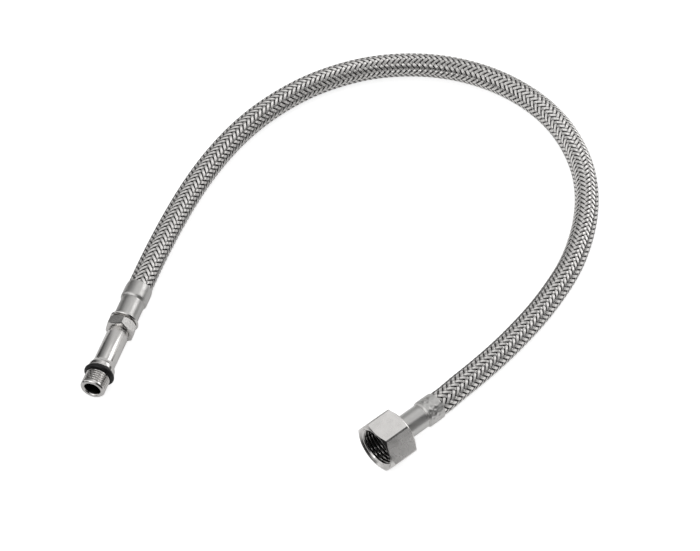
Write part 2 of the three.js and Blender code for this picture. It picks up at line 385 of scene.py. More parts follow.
def combined(first, second, operation):
    """The two meshes joined, cut or overlapped as solids, as one new mesh."""
    a = linked("solid_a", first)
    b = linked("solid_b", second)
    cut = a.modifiers.new("Combine", "BOOLEAN")
    cut.object = b
    cut.operation = operation
    cut.solver = "EXACT"
    bpy.context.view_layer.update()
    result = bmesh.new()
    result.from_object(a, bpy.context.evaluated_depsgraph_get())
    for done in (a, b):
        mesh = done.data
        bpy.data.objects.remove(done)
        bpy.data.meshes.remove(mesh)
    bmesh.ops.remove_doubles(result, verts=result.verts, dist=2e-6)
    bmesh.ops.dissolve_degenerate(result, edges=result.edges, dist=1e-6)
    return result


def soften(bm, edges, offset_mm, segments=2):
    bmesh.ops.bevel(
        bm,
        geom=edges,
        offset=offset_mm * MM,
        offset_type="OFFSET",
        segments=segments,
        profile=0.5,
        affect="EDGES",
        clamp_overlap=True,
        material=-1,
    )


def hex_edges(bm, flats):
    """The long edges between a hexagon's flats."""
    reach = flats / math.sqrt(3) * MM
    found = []
    for edge in bm.edges:
        a, b = edge.verts[0].co, edge.verts[1].co
        far = min(math.hypot(a.x, a.z), math.hypot(b.x, b.z))
        if far > reach * 0.985 and abs(a.y - b.y) > MM:
            found.append(edge)
    return found


# The hose's line


def centre_line(points, step):
    """Points along the route, a step apart, with tangent, side and up, in millimetres."""
    p = np.array(points, float)
    p = np.vstack([2 * p[0] - p[1], p, 2 * p[-1] - p[-2]])
    gap = np.linalg.norm(np.diff(p, axis=0), axis=1) ** 0.5
    dense = []
    for i in range(1, len(p) - 2):
        d0, d1, d2 = gap[i - 1], gap[i], gap[i + 1]
        a, b, c, d = p[i - 1 : i + 3]
        m1 = ((b - a) / d0 - (c - a) / (d0 + d1) + (c - b) / d1) * d1
        m2 = ((c - b) / d1 - (d - b) / (d1 + d2) + (d - c) / d2) * d1
        t = np.linspace(0, 1, 40, endpoint=False)[:, None]
        dense.append(
            (2 * t**3 - 3 * t**2 + 1) * b
            + (t**3 - 2 * t**2 + t) * m1
            + (3 * t**2 - 2 * t**3) * c
            + (t**3 - t**2) * m2
        )
    dense = np.vstack([*dense, p[-2][None]])
    run = np.r_[0, np.cumsum(np.linalg.norm(np.diff(dense, axis=0), axis=1))]
    s = np.linspace(0, run[-1], int(run[-1] / step) + 1)
    line = np.column_stack([np.interp(s, run, dense[:, k]) for k in range(3)])
    tangent = np.gradient(line, s, axis=0)
    tangent /= np.linalg.norm(tangent, axis=1)[:, None]
    side = np.cross(tangent, (0, 0, 1))
    side /= np.linalg.norm(side, axis=1)[:, None]
    up = np.cross(side, tangent)
    return s, line, tangent, side, up


def on_hose(path, s, angle, radius):
    """Points at a distance along the hose, an angle round it and a radius, in metres."""
    run, line, tangent, side, up = path
    inside = np.clip(s, run[0], run[-1])
    at = [np.interp(inside, run, line[:, k]) for k in range(3)]
    out = []
    for k in range(3):
        t = np.interp(inside, run, tangent[:, k])
        a = np.interp(inside, run, side[:, k])
        b = np.interp(inside, run, up[:, k])
        out.append(at[k] + t * (s - inside) + radius * (np.cos(angle) * a + np.sin(angle) * b))
    return np.stack(out, axis=-1) * MM


def ringed_bar(sides, rings):
    """A closed bar along Z from 0 to 1, cut into rings, and each vertex's ring and place in it."""
    bm = bmesh.new()
    bmesh.ops.create_cone(
        bm,
        cap_ends=True,
        segments=sides,
        radius1=1,
        radius2=1,
        depth=1,
        matrix=Matrix.Translation((0, 0, 0.5)),
    )
    long_edges = [e for e in bm.edges if abs(e.verts[0].co.z - e.verts[1].co.z) > 0.5]
    bmesh.ops.subdivide_edges(bm, edges=long_edges, cuts=rings - 2, use_grid_fill=False)
    mesh = bpy.data.meshes.new("bar")
    bm.to_mesh(mesh)
    bm.free()
    co = np.empty(len(mesh.vertices) * 3)
    mesh.vertices.foreach_get("co", co)
    co = co.reshape(-1, 3)
    ring = np.rint(co[:, 2] * (rings - 1)).astype(int)
    place = np.rint(np.arctan2(co[:, 1], co[:, 0]) / (2 * math.pi) * sides).astype(int) % sides
    return mesh, ring, place


def band_section(wires, wire, crown):
    """Offsets across a band of wires and heights over it, round its outline, in millimetres."""
    half = wires * wire / 2
    across, height = [], []
    for k in range(2 * wires + 1):
        offset = k * wire / 2 - half
        across.append(offset)
        height.append(wire * (0.5 if k % 2 else 0.02) - crown * (offset / half) ** 2)
    across += [half - 0.03, 0.03 - half]
    height += [-wire * 0.35 - crown, -wire * 0.35 - crown]
    return np.array(across), np.array(height)


def crease_between_wires(mesh, place, wires):
    """Marks the grooves between a band's wires as creases."""
    for edge in mesh.edges:
        a, b = (place[v] for v in edge.vertices)
        edge.use_edge_sharp = bool(a == b and (a % 2 == 0 or a > 2 * wires))


# Materials


def new_material(name):
    material = bpy.data.materials.new(name)
    material.use_nodes = True
    material.node_tree.nodes.clear()
    return material


def put(tree, kind, links=None, **settings):
    """Adds a node, with its settings, socket values and incoming links."""
    made = tree.nodes.new(kind)
    for key, value in settings.items():
        setattr(made, key, value)
    for socket, value in (links or {}).items():
        if isinstance(value, bpy.types.NodeSocket):
            tree.links.new(value, made.inputs[socket])
        else:
            made.inputs[socket].default_value = value
    return made


def rgba(value):
    return (value[0], value[1], value[2], 1.0)


def finished(material, finish):
    """Ends the material in a surface with that finish."""
    surface = put(material.node_tree, "ShaderNodeBsdfPrincipled", finish)
    put(material.node_tree, "ShaderNodeOutputMaterial", {"Surface": surface.outputs[0]})
    return material


def faded(tree, place, start, end, first, second):
    """Fades from the first colour to the second while the place runs from start to end."""
    share = put(
        tree,
        "ShaderNodeMapRange",
        {"Value": place, "From Min": start, "From Max": end},
        interpolation_type="SMOOTHSTEP",
    )
    mix = put(tree, "ShaderNodeMix", {0: share.outputs[0], 6: first, 7: second}, data_type="RGBA")
    return mix.outputs[2]


def turned_nickel_material(name, value, turn_deg, flats_grain):
    """Bright nickel on turned brass: fine rings round the axis, smears, a soft grain on flats."""
    material = new_material(name)
    tree = material.node_tree
    where = put(tree, "ShaderNodeTexCoord")
    # Y of the mapped point runs along the fitting's axis
    along = put(
        tree,
        "ShaderNodeMapping",
        {"Vector": where.outputs["Object"], "Rotation": (0, 0, math.radians(-turn_deg))},
    )
    # Lathe marks: lines about 0.08 mm apart, the same all the way round
    rings = put(
        tree,
        "ShaderNodeMapping",
        {"Vector": along.outputs[0], "Scale": (120.0, 9000.0, 120.0)},
    )
    marks = put(
        tree, "ShaderNodeTexNoise", {"Vector": rings.outputs[0], "Scale": 1.0, "Detail": 3.0}
    )
    # Handling smears a few millimetres wide, which dull the shine here and there
    smears = put(
        tree,
        "ShaderNodeTexNoise",
        {"Vector": where.outputs["Object"], "Scale": 260.0, "Detail": 4.0},
    )
    dull = put(
        tree,
        "ShaderNodeMapRange",
        {
            "Value": smears.outputs[0],
            "From Min": 0.35,
            "From Max": 0.75,
            "To Min": 0.2 if flats_grain else 0.13,
            "To Max": 0.34 if flats_grain else 0.24,
        },
    )
    bump = put(
        tree,
        "ShaderNodeBump",
        {
            "Height": marks.outputs[0],
            "Strength": 0.22 if flats_grain else 0.12,
            "Distance": 0.00002,
        },
    )
    return finished(
        material,
        {
            "Base Color": rgba(value),
            "Metallic": 1.0,
            "Roughness": dull.outputs[0],
            "Normal": bump.outputs[0],
        },
    )


def bore_material(name, value):
    """Wall of a hole: dull, with painted shade, its colour darkened because little light gets in."""
    material = new_material(name)
    tree = material.node_tree
    where = put(tree, "ShaderNodeTexCoord")
    stains = put(
        tree,
        "ShaderNodeTexNoise",
        {"Vector": where.outputs["Object"], "Scale": 900.0, "Detail": 3.0},
    )
    dull = put(
        tree, "ShaderNodeMapRange", {"Value": stains.outputs[0], "To Min": 0.2, "To Max": 0.4}
    )
    return finished(
        material,
        {"Base Color": rgba(value), "Metallic": 1.0, "Roughness": dull.outputs[0]},
    )


def crimped_steel_material(name, value, turn_deg):
    """Pressed stainless sleeve: satin, drawn lines along the axis, small dents of the jaws."""
    material = new_material(name)
    tree = material.node_tree
    where = put(tree, "ShaderNodeTexCoord")
    along = put(
        tree,
        "ShaderNodeMapping",
        {"Vector": where.outputs["Object"], "Rotation": (0, 0, math.radians(-turn_deg))},
    )
    drawn = put(
        tree, "ShaderNodeMapping", {"Vector": along.outputs[0], "Scale": (5000.0, 150.0, 5000.0)}
    )
    lines = put(
        tree, "ShaderNodeTexNoise", {"Vector": drawn.outputs[0], "Scale": 1.0, "Detail": 3.0}
    )
    dents = put(
        tree,
        "ShaderNodeTexNoise",
        {"Vector": where.outputs["Object"], "Scale": 500.0, "Detail": 2.0},
    )
    both = put(
        tree,
        "ShaderNodeMath",
        {0: lines.outputs[0], 1: dents.outputs[0]},
        operation="ADD",
    )
    bump = put(
        tree, "ShaderNodeBump", {"Height": both.outputs[0], "Strength": 0.25, "Distance": 0.00003}
    )
    dull = put(
        tree,
        "ShaderNodeMapRange",
        {
            "Value": dents.outputs[0],
            "From Min": 0.3,
            "From Max": 0.7,
            "To Min": 0.32,
            "To Max": 0.42,
        },
    )
    return finished(
        material,
        {
            "Base Color": rgba(value),
            "Metallic": 1.0,
            "Roughness": dull.outputs[0],
            "Normal": bump.outputs[0],
        },
    )


def woven_wire_material(name, value):
    """Drawn stainless wire: each one a little lighter or darker, with painted shade where bands dive
    under and towards a band's edges.
    """
    material = new_material(name)
    tree = material.node_tree
    strand = put(tree, "ShaderNodeUVMap", uv_map="Strand")
    # U runs along the band in millimetres, V counts the wires across all bands
    tone = put(tree, "ShaderNodeMapping", {"Vector": strand.outputs[0], "Scale": (0.15, 1.7, 1.0)})
    shade = put(
        tree, "ShaderNodeTexNoise", {"Vector": tone.outputs[0], "Scale": 1.0, "Detail": 2.0}
    )
    light = put(
        tree,
        "ShaderNodeMapRange",
        {"Value": shade.outputs[0], "From Min": 0.3, "From Max": 0.7, "To Min": 0.8, "To Max": 1.1},
    )
    # Painted shade in the gaps, darker where a band dives under a crossing band and towards its
    # edges: U of Depth is 0 below a crossing band and 1 on top, V runs across
    depth = put(tree, "ShaderNodeUVMap", uv_map="Depth")
    place = put(tree, "ShaderNodeSeparateXYZ", {0: depth.outputs[0]})
    high = put(
        tree,
        "ShaderNodeMapRange",
        {
            "Value": place.outputs[0],
            "From Min": 0.15,
            "From Max": 0.75,
            "To Min": 0.06,
            "To Max": 1.0,
        },
        interpolation_type="SMOOTHSTEP",
    )
    edge = put(
        tree, "ShaderNodeMath", {0: place.outputs[1], 1: place.outputs[1]}, operation="MULTIPLY"
    )
    inner = put(
        tree,
        "ShaderNodeMapRange",
        {"Value": edge.outputs[0], "From Min": 0.4, "From Max": 1.0, "To Min": 1.0, "To Max": 0.4},
    )
    unshaded = put(
        tree, "ShaderNodeMath", {0: high.outputs[0], 1: inner.outputs[0]}, operation="MULTIPLY"
    )
    share = put(
        tree, "ShaderNodeMath", {0: unshaded.outputs[0], 1: light.outputs[0]}, operation="MULTIPLY"
    )
    # The painted shade darkens the wire down to a twentieth of its colour
    tint = put(
        tree,
        "ShaderNodeMix",
        {6: rgba([c * 0.05 for c in value]), 7: rgba(value), 0: share.outputs[0]},
        data_type="RGBA",
    )
    dull = put(
        tree,
        "ShaderNodeMapRange",
        {
            "Value": shade.outputs[0],
            "From Min": 0.3,
            "From Max": 0.7,
            "To Min": 0.19,
            "To Max": 0.1,
        },
    )
    return finished(
        material,
        {"Base Color": tint.outputs[2], "Metallic": 1.0, "Roughness": dull.outputs[0]},
    )


def rubber_material(name, value, roughness):
    """Black moulded rubber: matt, with a fine bloom and mould texture."""
    material = new_material(name)
    tree = material.node_tree
    where = put(tree, "ShaderNodeTexCoord")
    grain = put(
        tree,
        "ShaderNodeTexNoise",
        {"Vector": where.outputs["Object"], "Scale": 4000.0, "Detail": 3.0},
    )
    bloom = put(
        tree,
        "ShaderNodeTexNoise",
        {"Vector": where.outputs["Object"], "Scale": 350.0, "Detail": 3.0},
    )
    dull = put(
        tree,
        "ShaderNodeMapRange",
        {"Value": bloom.outputs[0], "To Min": roughness - 0.1, "To Max": roughness + 0.12},
    )
    bump = put(
        tree, "ShaderNodeBump", {"Height": grain.outputs[0], "Strength": 0.2, "Distance": 0.00003}
    )
    return finished(
        material,
        {
            "Base Color": rgba(value),
            "Roughness": dull.outputs[0],
            "IOR": 1.4,
            "Normal": bump.outputs[0],
        },
    )


# Operators


class TAPHOSE_OT_camera(bpy.types.Operator):
    """Sets the camera where the photograph was taken from"""

    bl_idname = "taphose.camera"
    bl_label = "Camera"

    def execute(self, context):
        data = bpy.data.cameras.new("camera")
        data.lens = CAMERA_LENS
        data.sensor_width = CAMERA_SENSOR
        data.clip_start = 0.05
        data.clip_end = 30.0
        camera = bpy.data.objects.new("camera", data)
        context.scene.collection.objects.link(camera)
        down, turn = math.radians(CAMERA_DOWN_DEG), math.radians(CAMERA_TURN_DEG)
        ahead = math.cos(down)
        look = Vector((-math.sin(turn) * ahead, math.cos(turn) * ahead, -math.sin(down)))
        camera.location = Vector(CAMERA_PLACE) * MM
        camera.rotation_euler = look.to_track_quat("-Z", "Y").to_euler()
        context.scene.camera = camera
        return {"FINISHED"}


class TAPHOSE_OT_tube(bpy.types.Operator):
    bl_idname = "taphose.tube"
    bl_label = "Rubber tube"

    def execute(self, context):
        size = sizes(context)
        path = centre_line(ROUTE, 0.5)
        reach = path[0][-1]
        sides, rings = 32, 260
        mesh, ring, place = ringed_bar(sides, rings)
        s = ring / (rings - 1) * reach
        spot = on_hose(path, s, place / sides * 2 * math.pi, size.tube_radius / MM)
        mesh.vertices.foreach_set("co", spot.ravel())
        bm = bmesh.new()
        bm.from_mesh(mesh)
        bpy.data.meshes.remove(mesh)
        tube = new_object("rubber_tube", bm)
        tube.data.materials.append(
            rubber_material("epdm_rubber_extruded", finishes(context).rubber, 0.6)
        )
        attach(tube, "hose")
        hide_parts("inner_hose")
        return {"FINISHED"}


class TAPHOSE_OT_braid(bpy.types.Operator):
    """Weaves the bands of stainless wire, two over and two under, round the tube"""

    bl_idname = "taphose.braid"
    bl_label = "Wire braid"

    def execute(self, context):
        size = sizes(context)
        path = centre_line(ROUTE, 0.5)
        reach = path[0][-1]
        across, height = band_section(size.wires, size.wire / MM, BAND_CROWN)
        half_width = across.max()
        sides = len(across)
        middle = size.braid_radius / MM - BAND_LIFT - size.wire / MM * 0.5 - 0.005
        wind = math.tan(size.braid_angle) / middle
        first, last = -BRAID_UNDER_CRIMP, reach + BRAID_UNDER_CRIMP
        crossing = math.pi / (size.carriers * wind)
        rings = int((last - first) / (crossing * 0.4)) + 1
        mesh, ring, place = ringed_bar(sides, rings)
        crease_between_wires(mesh, place, size.wires)
        mesh.uv_layers.new(name="Strand")
        mesh.uv_layers.new(name="Depth")
        corner = np.empty(len(mesh.loops), int)
        mesh.loops.foreach_get("vertex_index", corner)
        along = first + ring / (rings - 1) * (last - first)
        lean, offset, rise = math.sin(size.braid_angle), across[place], height[place]
        material = woven_wire_material("stainless_wire_woven", finishes(context).wire)
        for way in (1, -1):
            for half in (0, 1):
                bm = bmesh.new()
                for band in range(half * size.carriers // 2, (half + 1) * size.carriers // 2):
                    start = 2 * math.pi * band / size.carriers
                    turn = way * wind * along + start
                    wave = np.sin(math.pi / 2 * (2 * band + way * along / crossing + 0.5))
                    over = way * np.tanh(1.2 * wave) / np.tanh(1.2)
                    radius = middle + BAND_LIFT * over + rise
                    angle = turn + offset * math.cos(size.braid_angle) / middle
                    spot = on_hose(path, along - way * offset * lean, angle, radius)
                    mesh.vertices.foreach_set("co", spot.ravel())
                    strand = np.column_stack([along, band * 40.0 + (way > 0) * 7.0 + place])[corner]
                    mesh.uv_layers["Strand"].data.foreach_set("uv", strand.ravel())
                    # Depth carries the wire's painted shade: how far its band has dived, and how far
                    # across the band it lies
                    depth = np.column_stack([over / 2 + 0.5, offset / half_width])[corner]
                    mesh.uv_layers["Depth"].data.foreach_set("uv", depth.ravel())
                    bm.from_mesh(mesh)
                name = "braid_%s_%d" % ("right" if way > 0 else "left", half + 1)
                piece = new_object(name, bm, None, None)
                piece.data.materials.append(material)
                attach(piece, "hose")
        bpy.data.meshes.remove(mesh)
        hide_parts("steel_braid")
        return {"FINISHED"}


class TAPHOSE_OT_ferrules(bpy.types.Operator):
    """Presses the two stainless sleeves over the hose's ends"""

    bl_idname = "taphose.ferrules"
    bl_label = "Crimped sleeves"

    def execute(self, context):
        size = sizes(context)
        narrow, wide = size.ferrule_radius / MM, size.ferrule_wide / MM
        for name, (start, end), place, turn, slot_node in (
            ("tap_sleeve", TAP_FERRULE, tail_place(), 0.0, "tap_ferrule"),
            ("nut_sleeve", NUT_FERRULE, nut_place(), NUT_AXIS_DEG - 90, "nut_ferrule"),
        ):
            step = end - FERRULE_WIDE_LENGTH
            profile = [
                (narrow - 0.5, start),
                (narrow - 0.2, start),
                (narrow - 0.05, start + 0.08),
                (narrow, start + 0.25),
                (narrow, step - 1.4),
                (narrow - 0.03, step - 1.32),
                (narrow - 0.12, step - 1.2),
                (narrow - 0.12, step - 1.02),
                (narrow - 0.02, step - 0.95),
                (wide - 0.14, step - 0.42),
                (wide - 0.04, step - 0.25),
                (wide, step),
                (wide, end - 2.4),
                (wide - 0.03, end - 1.5),
                (wide - 0.09, end - 0.6),
                (wide - 0.14, end - 0.2),
                (wide - 0.2, end - 0.03),
                (wide - 0.28, end),
                (wide - 0.38, end - 0.05),
                (wide - 0.4, end - 0.3),
                (wide - 0.4, step + 0.3),
                (narrow - 0.5, step - 0.7),
            ]
            imprinted = name == "nut_sleeve"
            outside = (wide - 0.35) * MM
            bm = turned(
                fine(profile, start, end, 0.2 if imprinted else 0.7), 240 if imprinted else 96
            )
            # The jaws press the narrow part into faint flats
            for v in bm.verts:
                y = v.co.y / MM
                if start + 0.2 < y < step - 2.0:
                    a = math.atan2(v.co.z, v.co.x)
                    jaw = 0.5 + 0.5 * math.cos(JAWS * a)
                    press = 1 - JAW_PRESS * jaw * smooth_step((y - start) / 1.5)
                    v.co.x *= press
                    v.co.z *= press
                elif imprinted and y > step - 0.4 and math.hypot(v.co.x, v.co.z) > outside:
                    # The bands of wire show through one side of the nut's sleeve
                    a = math.atan2(v.co.z, v.co.x)
                    lean = y * math.tan(size.braid_angle) / wide
                    bands = max(math.sin(size.carriers * (a + way * lean)) for way in (-1, 1))
                    side = smooth_step(0.45 + 1.1 * math.cos(a - 0.6))
                    press = 0.5 * (1 - bands) * side * smooth_step((y - step + 0.4) / 0.8)
                    press = 1 - IMPRINT_PRESS * press
                    v.co.x *= press
                    v.co.z *= press
            sleeve = new_object(name, bm, place, 50.0)
            sleeve.data.materials.append(
                crimped_steel_material(
                    "stainless_sleeve_pressed_" + name, finishes(context).sleeve, turn
                )
            )
            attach(sleeve, "hose")
            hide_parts(slot_node)
        return {"FINISHED"}


class TAPHOSE_OT_tail(bpy.types.Operator):
    """Turns the long tail with its thread, O-ring seat, rod, hexagon and lip"""

    bl_idname = "taphose.tail"
    bl_label = "Threaded tail"

    def execute(self, context):
        size = sizes(context)
        crest, rod, bore = size.thread_radius / MM, size.rod_radius / MM, size.tail_bore / MM
        step = TAP_FERRULE[1] - FERRULE_WIDE_LENGTH
        profile = [
            (bore, 31.5),
            (bore, 0.45),
            (bore + 0.3, 0.08),
            (bore + 0.42, 0.0),
            (crest - 0.5, 0.0),
            (crest - 0.4, 0.04),
            (crest - 0.12, 0.38),
            (crest, 0.6),
            (crest, 6.25),
            (crest - 0.3, 6.55),
            (SEAT_RADIUS, 6.55),
            (SEAT_RADIUS, 9.05),
            (5.18, 9.05),
            (5.33, 9.13),
            (SHOULDER_RADIUS, 9.3),
            (SHOULDER_RADIUS, 10.7),
            (5.32, 10.95),
            (5.15, 11.25),
            (4.93, 11.6),
            (4.7, 12.1),
            (4.52, 12.7),
            (rod, 13.4),
            (rod, 28.5),
            (rod - 0.05, 28.6),
            (rod - 0.35, 28.85),
            (rod - 0.35, 30.2),
            (NECK_RADIUS, 30.2),
            (NECK_RADIUS, 34.95),
            (5.2, 34.95),
            (5.45, 35.02),
            (5.68, 35.15),
            (5.85, 35.33),
            (LIP_RADIUS, 35.55),
            (LIP_RADIUS, 35.72),
            (5.88, 35.84),
            (5.74, LIP_END),
            (COLLAR_RADIUS, LIP_END),
            *spigot(step),
            (SPIGOT_BORE, 32.5),
        ]
        bm = turned(fine(profile, 0.6, 6.3, 0.06), 120)
        cut_thread(bm, crest, size.thread_root / MM - crest, size.thread_pitch / MM, 1.0, 6.5, 0.4)
        flat = size.tail_flats / MM / 2
        bar = hexagon(2 * flat, 29.0, 35.0, 13.0)
        shape = [
            (0, 29.7),
            (flat - 0.3, 29.7),
            (flat + 0.95, 30.5),
            (flat + 0.95, 33.0),
            (flat - 0.25, 34.45),
            (0, 34.45),
        ]
        hexa = combined(bar, turned(shape, 96), "INTERSECT")
        soften(hexa, hex_edges(hexa, 2 * flat), 0.16, 1)
        hexa = combined(
            hexa, turned([(0, 29.0), (4.2, 29.0), (4.2, 36.0), (0, 36.0)], 96), "DIFFERENCE"
        )
        for face in hexa.faces:
            face.material_index = int(abs(face.normal.y) < 0.01)
        mesh = bpy.data.meshes.new("hexagon")
        hexa.to_mesh(mesh)
        hexa.free()
        # The bore and the thread's grooves take darkened copies of the nickel, which are painted
        # shade
        for face in bm.faces:
            middle = face.calc_center_median() / MM
            reach = math.hypot(middle.x, middle.z)
            if middle.y > 0.3 and reach < bore + 0.02:
                face.material_index = 2
            elif 0.9 < middle.y < 6.4 and bore + 0.5 < reach < crest - 0.45:
                face.material_index = 3
        bmesh.ops.recalc_face_normals(bm, faces=bm.faces)
        bm.from_mesh(mesh)
        bpy.data.meshes.remove(mesh)
        tail = new_object("tail_fitting", bm, tail_place(), 40.0)
        nickel = finishes(context).nickel
        for name, milled in (
            ("nickel_plated_brass_turned", False), ("nickel_plated_brass_hexagon", True)
        ):
            tail.data.materials.append(turned_nickel_material(name, nickel, 0.0, milled))
        # Painted shade: the nickel darkened to 3 % in the bore and to half in the thread's grooves
        for name, share in (
            ("brass_bore_painted_shade", 0.03), ("brass_thread_groove_painted_shade", 0.5)
        ):
            tail.data.materials.append(bore_material(name, [c * share for c in nickel]))
        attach(tail, "hose")
        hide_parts("tap_tail")
        return {"FINISHED"}


class TAPHOSE_OT_seals(bpy.types.Operator):
    """Moulds the O-ring on the tail and the flat gasket in the nut"""

    bl_idname = "taphose.seals"
    bl_label = "Seals"

    def execute(self, context):
        size = sizes(context)
        bm = bmesh.new()
        made = bmesh.ops.create_circle(
            bm,
            segments=24,
            radius=size.ring_section,
            matrix=Matrix.Translation((size.ring_radius, O_RING_MIDDLE * MM, 0)),
        )
        spin_round(bm, made["verts"] + list({e for v in made["verts"] for e in v.link_edges}), 96)
        rubber = rubber_material("nbr_rubber_moulded", finishes(context).rubber, 0.42)
        ring = new_object("o_ring", bm, tail_place())
        washer = [
            (GASKET_HOLE, GASKET_FRONT + GASKET_EDGE),
            (GASKET_HOLE + GASKET_EDGE, GASKET_FRONT),
            (FLANGE_RADIUS - GASKET_EDGE, GASKET_FRONT),
            (FLANGE_RADIUS, GASKET_FRONT + GASKET_EDGE),
            (FLANGE_RADIUS, GASKET_BACK - GASKET_EDGE),
            (FLANGE_RADIUS - GASKET_EDGE, GASKET_BACK),
            (GASKET_HOLE + GASKET_EDGE, GASKET_BACK),
            (GASKET_HOLE, GASKET_BACK - GASKET_EDGE),
        ]
        gasket = new_object("flat_gasket", turned(washer, 96), nut_place())
        for piece, node in ((ring, "tap_o_ring"), (gasket, "gasket")):
            piece.data.materials.append(rubber)
            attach(piece, "hose")
            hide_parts(node)
        return {"FINISHED"}


class TAPHOSE_OT_nipple(bpy.types.Operator):
    """Turns the flanged nipple that holds the nut on the hose"""

    bl_idname = "taphose.nipple"
    bl_label = "Nipple"

    def execute(self, context):
        step = NUT_FERRULE[1] - FERRULE_WIDE_LENGTH
        profile = [
            (SPIGOT_BORE, 8.7),
            (6.95, 8.7),
            (FLANGE_RADIUS, 8.85),
            (FLANGE_RADIUS, 10.1),
            (4.2, 10.1),
            (4.2, 12.85),
            (COLLAR_RADIUS, 12.85),
            *spigot(step),
        ]
        nipple = new_object("nipple", turned(profile, 72), nut_place())
        nipple.data.materials.append(
            turned_nickel_material(
                "nickel_plated_brass_nipple", finishes(context).nickel, NUT_AXIS_DEG - 90, False
            )
        )
        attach(nipple, "hose")
        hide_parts("nut_nipple")
        return {"FINISHED"}


class TAPHOSE_OT_nut(bpy.types.Operator):
    """Makes the swivel nut with its chamfered hexagon, rims and helical inner thread"""

    bl_idname = "taphose.nut"
    bl_label = "Swivel nut"

    def execute(self, context):
        size = sizes(context)
        flat, end = size.nut_flats / MM / 2, size.nut_length / MM
        minor, major = size.nut_minor / MM, size.nut_major / MM
        bar = hexagon(2 * flat, -1.0, end + 1.0, 30.0)
        shape = [
            (0, 0.0),
            (NUT_RIM_RADIUS, 0.0),
            (9.38, 0.03),
            (flat + 1.6, 1.03),
            (flat + 1.6, 11.45),
            (9.34, 12.2),
            (NUT_RIM_RADIUS, 12.25),
            (9.27, 12.42),
            (9.17, 12.6),
            (9.0, 12.75),
            (8.75, 12.85),
            (0, 12.85),
        ]
        outer = combined(bar, turned(shape, 120), "INTERSECT")
        soften(outer, hex_edges(outer, 2 * flat), 0.42, 1)
        hollow = [
            (0, -1.0),
            (major + 0.72, -1.0),
            (major + 0.72, 0.0),
            (major + 0.68, 0.03),
            (major - 0.08, 0.72),
            (major - 0.38, 0.76),
            (minor, 1.2),
            (minor, 9.0),
            (major, 9.6),
            (major, NUT_SHOULDER),
            (NUT_HOLE_RADIUS, NUT_SHOULDER),
            (NUT_HOLE_RADIUS, end - 0.3),
            (5.5, end + 0.05),
            (5.5, end + 1.0),
            (0, end + 1.0),
        ]
        bore = turned(fine(hollow, 1.2, 9.0, 0.075), 120)
        cut_thread(bore, minor, major - minor, size.nut_pitch / MM, 1.3, 9.1, 0.5)
        bm = combined(outer, bore, "DIFFERENCE")
        for face in bm.faces:
            middle = face.calc_center_median() / MM
            reach = math.hypot(middle.x, middle.z)
            if abs(face.normal.y) < 0.01 and abs(middle.dot(face.normal) - flat) < 0.02:
                face.material_index = 1
            # The thread's grooves take a darkened copy of the nickel, which is painted shade
            elif minor + 0.25 < reach < major + 0.03 and 1.35 < middle.y < 10.6:
                face.material_index = 2
        nut = new_object("swivel_nut", bm, nut_place(), 25.0)
        for name, milled in (
            ("nickel_plated_brass_bored", False), ("nickel_plated_brass_milled", True)
        ):
            nut.data.materials.append(
                turned_nickel_material(name, finishes(context).nickel, NUT_AXIS_DEG - 90, milled)
            )
        # Painted shade: the nickel darkened to a fifth in the thread
        nut.data.materials.append(
            bore_material(
                "brass_nut_thread_painted_shade", [c * 0.2 for c in finishes(context).nickel]
            )
        )
        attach(nut, "nut")
        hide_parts("union_nut")
        return {"FINISHED"}


